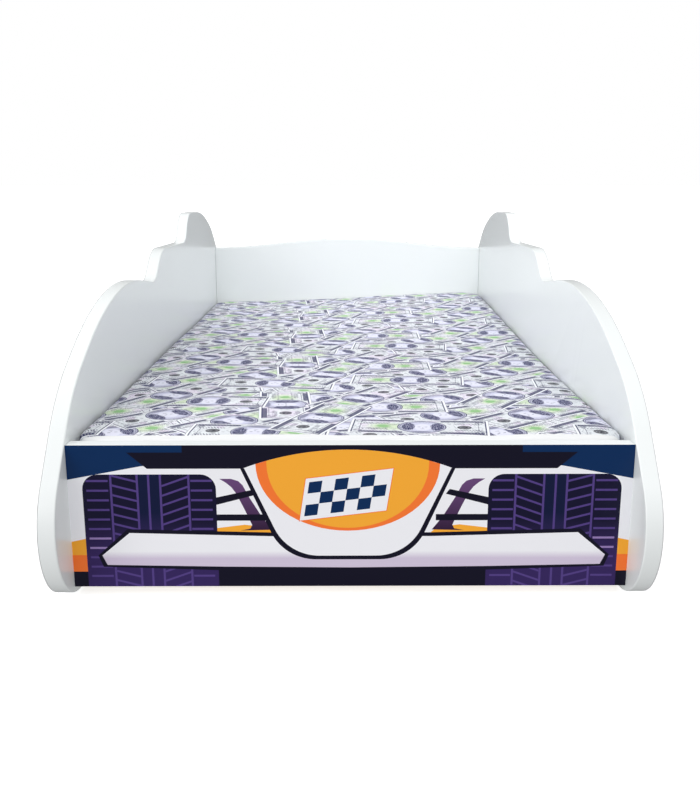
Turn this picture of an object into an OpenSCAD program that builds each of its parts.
// Toddler bed with two car-shaped side panels, a headboard with a low crest, a printed
// footboard, a slatted base and a foam mattress in a zipped cover.
// Lengths run along Y from the printed face of the footboard (foot end toward -Y).
// Z is up from the floor, and X is across the bed.

/* [Mattress] */
// Length of the mattress
mattress_l = 1400; // [1100:10:1700]
// Width of the mattress
mattress_w = 700; // [550:10:850]
// Thickness of the mattress
mattress_t = 80; // [60:5:120]
// Radius of the mattress's corners, seen from above
mattress_corner_r = 35; // [15:5:60]
// Thickness of the mattress cover's fabric
cover_t = 2; // [1:0.5:4]
// Clearance between the foam core and its cover
core_clearance = 0.3; // [0.2:0.1:1]
// Clearance on each long side of the mattress
side_clearance = 10; // [5:1:20]
// Clearance at each end of the mattress
end_clearance = 5; // [4:0.5:12]
// Clearance between the mattress and the slats
seat_clearance = 0.3; // [0.2:0.1:0.6]

/* [Panels] */
// Thickness of the lacquered boards
panel_t = 22; // [16:1:28]
// Height of the footboard and headboard above the floor
ground_gap = 18; // [10:1:40]
// Footboard's top edge above the top of the mattress
foot_margin = 1.7; // [0:0.1:20]
// Headboard's top corners above the footboard's top edge
head_corner_rise = 136; // [90:1:200]
// Height of the crest in the middle of the headboard
crest_rise = 25; // [0:1:50]
// Thickness of the printed film on the footboard and the side panels
film_t = 0.3; // [0.2:0.1:0.6]

/* [Side outline] */
// How far the side panels reach in front of the footboard
front_overhang = 63.5; // [40:0.5:90]
// How far the side panels reach behind the headboard
rear_overhang = 28; // [15:1:60]
// Radius of the wheel-like round at each lower end
wheel_r = 100; // [70:1:110]
// Height where the front end starts to lean back
shoulder_z = 140.4; // [125:0.1:160]
// Length of each standing foot from the end of the panel
foot_l = 175; // [150:5:240]
// Height of the relief between the feet
arch_h = 35; // [15:1:60]
// Start of the bonnet, back from the footboard's face
bonnet_y = 47.7; // [30:0.1:70]
// Start of the bonnet, above the footboard's top edge
bonnet_rise = 58.3; // [40:0.1:70]
// Bend between the bonnet and the top of the hood, back from the footboard's face
hood_bend_y = 265.5; // [230:0.5:300]
// End of the flat top of the hood, back from the footboard's face
hood_end_y = 449.5; // [400:0.5:470]
// Top of the hood above the footboard's top edge
hood_rise = 158.5; // [120:0.5:180]
// Notch in front of the cowl, ahead of the middle of the bed
notch_lead = 114; // [90:1:140]
// Bottom of the notch above the footboard's top edge
notch_rise = 136.5; // [100:0.5:150]
// Front of the cowl, ahead of the middle of the bed
cowl_lead = 38; // [20:1:60]
// Front of the cowl above the footboard's top edge
cowl_rise = 191; // [160:0.5:220]
// Foot of the fin, ahead of the headboard
fin_foot_lead = 469; // [420:1:500]
// Foot of the fin above the footboard's top edge
fin_foot_rise = 185.5; // [150:0.5:210]
// Front tip of the fin, ahead of the headboard
fin_tip_lead = 422.5; // [380:0.5:460]
// Top of the fin above the footboard's top edge
fin_rise = 246; // [200:1:300]
// First bend of the fin's back, ahead of the headboard
fin_bend_lead = 219.5; // [180:0.5:260]
// First bend of the fin's back above the footboard's top edge
fin_bend_rise = 242.3; // [200:0.1:290]
// Second bend of the fin's back, ahead of the headboard
fin_back_lead = 63; // [40:1:100]
// Second bend of the fin's back above the footboard's top edge
fin_back_rise = 195.3; // [160:0.1:230]
// Upper rear corner above the footboard's top edge
rear_corner_rise = 121; // [90:1:150]

/* [Slatted base] */
// Height of the top of the slats
base_h = 128; // [100:1:180]
// Number of slats
slat_count = 12; // [8:1:14]
// Width of one slat
slat_w = 70; // [50:1:80]
// Thickness of one slat
slat_t = 12; // [9:1:18]
// Clearance at each end of a slat
slat_clearance = 2; // [0.5:0.5:5]
// Space between the first slat and the footboard
slat_margin = 12; // [5:1:30]
// Width of the rails that carry the slats
rail_w = 20; // [18:1:30]
// Height of the rails
rail_h = 30; // [25:1:40]

/* [Fittings] */
// Radius of a cam lock
cam_r = 7.5; // [6:0.5:10]
// Distance of a cam lock from the end of its board
cam_inset = 34; // [24:1:40]
// Radius of a cam bolt's shank
bolt_r = 3.5; // [3:0.25:4]
// Radius of a cam bolt's thread in the side panel
bolt_thread_r = 3; // [2:0.25:3.5]
// Depth of a cam bolt and a dowel in the side panel
bolt_depth = 11; // [8:0.5:13]
// Distance of the outer cam locks from the top and bottom of their board
cam_edge = 42; // [30:1:60]
// Radius of a cam lock's cover cap
cap_r = 9.5; // [8.5:0.5:14]
// Thickness of a cover cap
cap_t = 1; // [0.6:0.1:1.5]
// Radius of a wooden dowel
dowel_r = 4; // [3:0.5:5]
// Length of a wooden dowel
dowel_l = 30; // [25:1:40]
// Radius of a wood screw's shank
screw_r = 2; // [1.5:0.25:2.25]
// Radius of a wood screw's head
screw_head_r = 4; // [3.5:0.25:5]
// Depth of a wood screw in the piece that it holds in
screw_bite = 15; // [10:1:16]
// Radial clearance of screws, bolts, cams and dowels in their holes
hole_clearance = 0.1; // [0.05:0.05:0.2]

/* [Glides] */
// Length of a plastic glide
glide_l = 40; // [25:1:50]
// Width of a plastic glide
glide_w = 16; // [12:1:18]
// Thickness of a plastic glide
glide_t = 3; // [2:0.5:6]
// Length of the nail that holds a glide
nail_l = 16; // [12:1:25]
// Radius of the nail
nail_r = 1.2; // [0.8:0.1:1.5]

/* [Zip] */
// Width of the zip's tape
zip_tape_w = 24; // [18:1:32]
// Thickness of the zip's tape
zip_tape_t = 0.8; // [0.5:0.1:1]
// Width of the zip's coil
zip_coil_w = 3; // [2:0.5:5]
// Height of the zip's coil on its tape
zip_coil_t = 1; // [0.6:0.1:1.2]
// Length of the slider along the zip
slider_l = 10; // [8:1:14]
// Width of the slider across the zip
slider_w = 8; // [7:1:12]
// Thickness of the slider
slider_t = 2.2; // [2:0.1:2.6]
// Length of the pull tab below the slider
pull_l = 20; // [12:1:30]
// Running clearance of the slider
zip_clearance = 0.3; // [0.2:0.05:0.5]

/* [Hidden] */
$fn = 48;
SLATS = [for (i = [1 : slat_count]) str("slat_", i)];

// Box that the mattress lies in
inner_w = mattress_w + 2 * side_clearance;
inner_l = mattress_l + 2 * end_clearance;
half_w = inner_w / 2;
foot_back = panel_t;
head_front = foot_back + inner_l;
head_back = head_front + panel_t;
middle_y = (foot_back + head_front) / 2;
front_y = -front_overhang;
rear_y = head_back + rear_overhang;
shift_y = -(front_y + rear_y) / 2;

// Heights
mattress_z = base_h + seat_clearance;
foot_top = mattress_z + mattress_t + foot_margin;
head_corner_z = foot_top + head_corner_rise;
rail_top = base_h - slat_t;
rail_z = rail_top - rail_h / 2;

// Slats and rails
slat_half_l = half_w - slat_clearance;
slat_first_y = foot_back + slat_margin + slat_w / 2;
slat_pitch = (inner_l - 2 * slat_margin - slat_w) / (slat_count - 1);
rail_screw_x = half_w - rail_w / 2;

// Cam joints: heights on the footboard and on the headboard
foot_cam_z = [ground_gap + cam_edge, foot_top - cam_edge];
foot_dowel_z = [(foot_cam_z[0] + foot_cam_z[1]) / 2];
head_low_z = ground_gap + cam_edge;
head_high_z = head_corner_z - cam_edge;
head_cam_z = [head_low_z, (head_low_z + head_high_z) / 2, head_high_z];
head_dowel_z = [for (i = [0, 1]) (head_cam_z[i] + head_cam_z[i + 1]) / 2];
foot_joint_y = panel_t / 2;
head_joint_y = head_front + panel_t / 2;
cam_floor = 1.5;
cam_depth = panel_t / 2 + bolt_r + cam_floor;
cam_x = half_w - cam_inset;
cam_slot_w = 1.6;
cam_slot_depth = 2;
bolt_tip_gap = 1;

// Screws and nails
screw_head_h = 2.4;
thread_r = screw_r - 0.4;
nail_head_r = 3;
nail_head_h = 1;
nail_recess = 0.6;

// Feet
foot_z = glide_t;
arch_z = foot_z + arch_h;
foot_rise_l = 18;
glide_front_y = front_y + (wheel_r + foot_l) / 2;
glide_rear_y = rear_y - (wheel_r + foot_l) / 2;

// Zip
zip_y = head_front - end_clearance;
zip_z = mattress_z + mattress_t / 2;
zip_half_l = mattress_w / 2 - mattress_corner_r - 5;
zip_coil_y = zip_y + zip_tape_t;
slider_y = zip_coil_y + zip_clearance;
slider_x = zip_half_l - slider_l / 2 - 4;
pull_t = 0.8;
pull_w = 5;

function above(rise) = foot_top + rise;

// Corners of a side panel as [y, z, radius], round the outline from the front foot
side_corners = [
    [front_y, foot_z, wheel_r],
    [front_y, shoulder_z, wheel_r],
    [bonnet_y, above(bonnet_rise), 275],
    [hood_bend_y, above(hood_rise), 650],
    [hood_end_y, above(hood_rise), 610],
    [middle_y - notch_lead, above(notch_rise), 60],
    [middle_y - cowl_lead, above(cowl_rise), 120],
    [head_front - fin_foot_lead, above(fin_foot_rise), 50],
    [head_front - fin_tip_lead, above(fin_rise), 75],
    [head_front - fin_bend_lead, above(fin_bend_rise), 580],
    [head_front - fin_back_lead, above(fin_back_rise), 345],
    [rear_y, above(rear_corner_rise), 60],
    [rear_y, foot_z, wheel_r],
    [rear_y - foot_l, foot_z, 10],
    [rear_y - foot_l - foot_rise_l, arch_z, 25],
    [front_y + foot_l + foot_rise_l, arch_z, 25],
    [front_y + foot_l, foot_z, 10]
];

// Farthest that a rounded corner's edges may lie inside its true arc
chord_error = 0.03;

// A polygon with rounded corners. Each corner is [x, y, radius], and a radius that its
// edges have no room for is made smaller.
function flat(c) = [c[0], c[1]];
function unit(v) = v / norm(v);
function turn(a, b, c) =
    let (u = unit(flat(b) - flat(a)), v = unit(flat(c) - flat(b)))
    atan2(u[0] * v[1] - u[1] * v[0], u * v);
function tangent(a, b, c) = b[2] * tan(abs(turn(a, b, c)) / 2);
function wrap(list, i) = list[(i + len(list)) % len(list)];
function reach(list, i) = tangent(wrap(list, i - 1), wrap(list, i), wrap(list, i + 1));
function edge(list, i) = norm(flat(wrap(list, i + 1)) - flat(wrap(list, i)));
function share(list, i) = edge(list, i) / max(reach(list, i) + reach(list, i + 1), 0.001);
function corner_points(list, i) =
    let (
        a = wrap(list, i - 1), b = wrap(list, i), c = wrap(list, i + 1),
        fit = min(1, share(list, i - 1), share(list, i)),
        angle = turn(a, b, c),
        radius = b[2] * fit,
        back = unit(flat(a) - flat(b)) * reach(list, i) * fit,
        side = sign(angle),
        normal = [back[1], -back[0]] / max(norm(back), 0.001) * side,
        centre = flat(b) + back + normal * radius,
        start = atan2(-normal[1], -normal[0]),
        chord = 2 * acos(1 - chord_error / max(radius, 1)),
        count = max(2, ceil(abs(angle) / chord))
    )
    [for (k = [0 : count])
        centre + radius * [cos(start + angle * k / count), sin(start + angle * k / count)]];
function rounded(list) = [for (i = [0 : len(list) - 1]) each corner_points(list, i)];

// Rectangle of the given size with round corners, centred on the origin
module rounded_plate(w, l, r, t) {
    corners = [[-w / 2, -l / 2, r], [w / 2, -l / 2, r], [w / 2, l / 2, r], [-w / 2, l / 2, r]];
    linear_extrude(t) polygon(rounded(corners));
}

// Whole bed, with its box centred on the origin along Y
module in_place() {
    translate([0, shift_y, 0]) children();
}

// Same thing on the left and right: side is -1 for left and 1 for right
module on_side(side) {
    if (side > 0) children();
    else mirror([1, 0, 0]) children();
}

module on_both_sides() {
    children();
    mirror([1, 0, 0]) children();
}

// Cylinder along X that starts at x, at a given place across it
module rod_x(x, length, y, z, r) {
    translate([x, y, z]) rotate([0, 90, 0]) cylinder(h = length, r = r);
}

// Countersunk wood screw along -Z, with the top of its head at the origin
module wood_screw(shank_l) {
    neck = shank_l - screw_head_h;
    translate([0, 0, -screw_head_h]) cylinder(h = screw_head_h, r1 = screw_r, r2 = screw_head_r);
    translate([0, 0, -shank_l]) cylinder(h = neck, r = screw_r);
    translate([0, 0, -shank_l - screw_bite]) cylinder(h = screw_bite, r = thread_r);
}

// The hole that a wood screw sits in
module screw_hole(shank_l) {
    c = hole_clearance;
    translate([0, 0, -screw_head_h - c])
        cylinder(h = screw_head_h + c, r1 = screw_r + c, r2 = screw_head_r + 2 * c);
    translate([0, 0, -shank_l - c]) cylinder(h = shank_l, r = screw_r + c);
    translate([0, 0, -shank_l - screw_bite - 1]) cylinder(h = screw_bite + 2, r = thread_r + c);
}

module at_slat_screw(i) {
    translate([rail_screw_x, slat_first_y + i * slat_pitch, base_h]) children();
}

module at_slat_screws() {
    for (i = [0 : slat_count - 1]) at_slat_screw(i) children();
}

// The rail screws sit between two slats, at every second space
module at_rail_screws() {
    for (i = [0 : 2 : slat_count - 2])
        translate([half_w - rail_w, slat_first_y + (i + 0.5) * slat_pitch, rail_z])
            rotate([0, -90, 0]) children();
}

// Holes for one joint's bolts and dowels, from inside a board into the side panel
module joint_holes(y, cams, pins) {
    for (z = cams) {
        rod_x(half_w - cam_inset, cam_inset + 1, y, z, bolt_r + hole_clearance);
        rod_x(half_w - 1, bolt_depth + 1 + bolt_tip_gap, y, z, bolt_thread_r + hole_clearance);
    }
    for (z = pins) rod_x(half_w - dowel_l, 2 * dowel_l, y, z, dowel_r + hole_clearance);
}

module side_holes(y, cams, pins) {
    for (z = cams)
        rod_x(half_w - 1, bolt_depth + 1 + bolt_tip_gap, y, z, bolt_thread_r + hole_clearance);
    for (z = pins)
        rod_x(half_w - 1, bolt_depth + 1 + bolt_tip_gap, y, z, dowel_r + hole_clearance);
}

module side_outline(t) {
    rotate([90, 0, 90]) linear_extrude(t) polygon(rounded(side_corners));
}

module glide_nail(y) {
    translate([half_w + panel_t / 2, y, nail_recess]) {
        cylinder(h = nail_head_h, r = nail_head_r);
        cylinder(h = nail_l, r = nail_r);
    }
}

module side_panel(side) {
    color("whitesmoke") in_place() on_side(side) difference() {
        translate([half_w, 0, 0]) side_outline(panel_t);
        side_holes(foot_joint_y, foot_cam_z, foot_dowel_z);
        side_holes(head_joint_y, head_cam_z, head_dowel_z);
        at_rail_screws() screw_hole(rail_w);
        for (y = [glide_front_y, glide_rear_y])
            translate([half_w + panel_t / 2, y, 0]) cylinder(h = nail_l + 2, r = nail_r + hole_clearance);
    }
}

module side_print(side) {
    color("midnightblue") in_place() on_side(side)
        translate([half_w + panel_t, 0, 0]) side_outline(film_t);
}

// Round pocket for a cam lock, open toward +Y at the board's rear face
module cam_pocket(y, z) {
    translate([cam_x, y + 1, z]) rotate([90, 0, 0])
        cylinder(h = cam_depth + 1, r = cam_r + hole_clearance);
}

module footboard() {
    color("whitesmoke") in_place() difference() {
        translate([-half_w, 0, ground_gap]) cube([inner_w, panel_t, foot_top - ground_gap]);
        on_both_sides() {
            joint_holes(foot_joint_y, foot_cam_z, foot_dowel_z);
            for (z = foot_cam_z) cam_pocket(foot_back, z);
        }
    }
}

module foot_print() {
    color("darkorange") in_place()
        translate([-half_w, -film_t, ground_gap]) cube([inner_w, film_t, foot_top - ground_gap]);
}

// Headboard outline in X and Z: flat at the corners, with a smooth crest between them
module head_outline() {
    steps = 36;
    crest = [for (i = [0 : steps])
        let (x = half_w - inner_w * i / steps)
        [x, head_corner_z + crest_rise * (1 + cos(180 * x / half_w)) / 2]];
    polygon(concat([[-half_w, ground_gap], [half_w, ground_gap]], crest));
}

module headboard() {
    color("whitesmoke") in_place() difference() {
        translate([0, head_back, 0]) rotate([90, 0, 0]) linear_extrude(panel_t) head_outline();
        on_both_sides() {
            joint_holes(head_joint_y, head_cam_z, head_dowel_z);
            for (z = head_cam_z) cam_pocket(head_back, z);
        }
    }
}

module slat_rail(side) {
    color("burlywood") in_place() on_side(side) difference() {
        translate([half_w - rail_w, foot_back + end_clearance, rail_top - rail_h])
            cube([rail_w, inner_l - 2 * end_clearance, rail_h]);
        at_slat_screws() screw_hole(slat_t);
        at_rail_screws() screw_hole(rail_w);
    }
}

module slat(i) {
    color("burlywood") in_place() difference() {
        translate([-slat_half_l, slat_first_y + i * slat_pitch - slat_w / 2, rail_top])
            cube([2 * slat_half_l, slat_w, slat_t]);
        on_both_sides() at_slat_screw(i) screw_hole(slat_t);
    }
}

// Cam lock with a side bore for the bolt's head and a slot for a screwdriver
module cam_lock(y, z) {
    translate([cam_x, y, z]) rotate([90, 0, 0]) difference() {
        cylinder(h = cam_depth - hole_clearance, r = cam_r);
        rod_x(0, cam_r + 1, 0, panel_t / 2, bolt_r + hole_clearance);
        translate([-cam_r - 1, -cam_slot_w / 2, -1])
            cube([2 * cam_r + 2, cam_slot_w, cam_slot_depth + 1]);
    }
}

module cam_locks() {
    color("silver") in_place() on_both_sides() {
        for (z = foot_cam_z) cam_lock(foot_back, z);
        for (z = head_cam_z) cam_lock(head_back, z);
    }
}

module cam_bolt(y, z) {
    rod_x(cam_x + 1, cam_inset - 1, y, z, bolt_r);
    rod_x(half_w, bolt_depth, y, z, bolt_thread_r);
}

module cam_bolts() {
    color("goldenrod") in_place() on_both_sides() {
        for (z = foot_cam_z) cam_bolt(foot_joint_y, z);
        for (z = head_cam_z) cam_bolt(head_joint_y, z);
    }
}

module cam_cap(y, z) {
    translate([cam_x, y, z]) rotate([-90, 0, 0]) cylinder(h = cap_t, r = cap_r);
}

module cam_caps() {
    color("white") in_place() on_both_sides() {
        for (z = foot_cam_z) cam_cap(foot_back, z);
        for (z = head_cam_z) cam_cap(head_back, z);
    }
}

module dowel(y, z) {
    rod_x(half_w + bolt_depth - dowel_l, dowel_l, y, z, dowel_r);
}

module dowels() {
    color("tan") in_place() on_both_sides() {
        for (z = foot_dowel_z) dowel(foot_joint_y, z);
        for (z = head_dowel_z) dowel(head_joint_y, z);
    }
}

module rail_screws() {
    color("goldenrod") in_place() on_both_sides() at_rail_screws() wood_screw(rail_w);
}

module slat_screws() {
    color("goldenrod") in_place() on_both_sides() at_slat_screws() wood_screw(slat_t);
}

module glide(side, y) {
    color("dimgray") in_place() on_side(side) difference() {
        translate([half_w + (panel_t - glide_w) / 2, y - glide_l / 2, 0])
            cube([glide_w, glide_l, glide_t]);
        translate([half_w + panel_t / 2, y, -1]) {
            cylinder(h = glide_t + 2, r = nail_r + hole_clearance);
            cylinder(h = 1 + nail_recess + nail_head_h + hole_clearance, r = nail_head_r + hole_clearance);
        }
    }
}

module glide_nails() {
    color("silver") in_place() on_both_sides() {
        glide_nail(glide_front_y);
        glide_nail(glide_rear_y);
    }
}

// Mattress box, made smaller all round by inset
module mattress_block(inset) {
    translate([0, middle_y, mattress_z + inset])
        rounded_plate(mattress_w - 2 * inset, mattress_l - 2 * inset,
            mattress_corner_r - inset, mattress_t - 2 * inset);
}

module mattress_core() {
    color("lemonchiffon") in_place() mattress_block(cover_t + core_clearance);
}

module mattress_cover() {
    color("lavender") in_place() difference() {
        mattress_block(0);
        mattress_block(cover_t);
    }
}

module zip_tape() {
    color("white") in_place() {
        translate([-zip_half_l, zip_y, zip_z - zip_tape_w / 2])
            cube([2 * zip_half_l, zip_tape_t, zip_tape_w]);
        translate([-zip_half_l, zip_coil_y, zip_z - zip_coil_w / 2])
            cube([2 * zip_half_l, zip_coil_t, zip_coil_w]);
    }
}

module zip_slider() {
    groove_w = zip_coil_w + 2 * zip_clearance;
    color("silver") in_place() difference() {
        translate([slider_x - slider_l / 2, slider_y, zip_z - slider_w / 2])
            cube([slider_l, slider_t, slider_w]);
        translate([slider_x - slider_l, slider_y - 1, zip_z - groove_w / 2])
            cube([2 * slider_l, 1 + zip_coil_t, groove_w]);
    }
}

module zip_pull() {
    color("silver") in_place()
        translate([slider_x - pull_w / 2, slider_y, zip_z - slider_w / 2 - pull_l])
            cube([pull_w, pull_t, pull_l]);
}

side_panel(-1);  // side_panel_left
side_panel(1);  // side_panel_right
headboard();
footboard();
foot_print();
side_print(-1);  // side_print_left
side_print(1);  // side_print_right
slat_rail(-1);  // slat_rail_left
slat_rail(1);  // slat_rail_right
for (i = [0 : slat_count - 1]) slat(i);
cam_locks();
cam_bolts();
cam_caps();
dowels();
rail_screws();
slat_screws();
glide(-1, glide_front_y);  // glide_front_left
glide(1, glide_front_y);  // glide_front_right
glide(-1, glide_rear_y);  // glide_rear_left
glide(1, glide_rear_y);  // glide_rear_right
glide_nails();
mattress_core();
mattress_cover();
zip_tape();
zip_slider();
zip_pull();
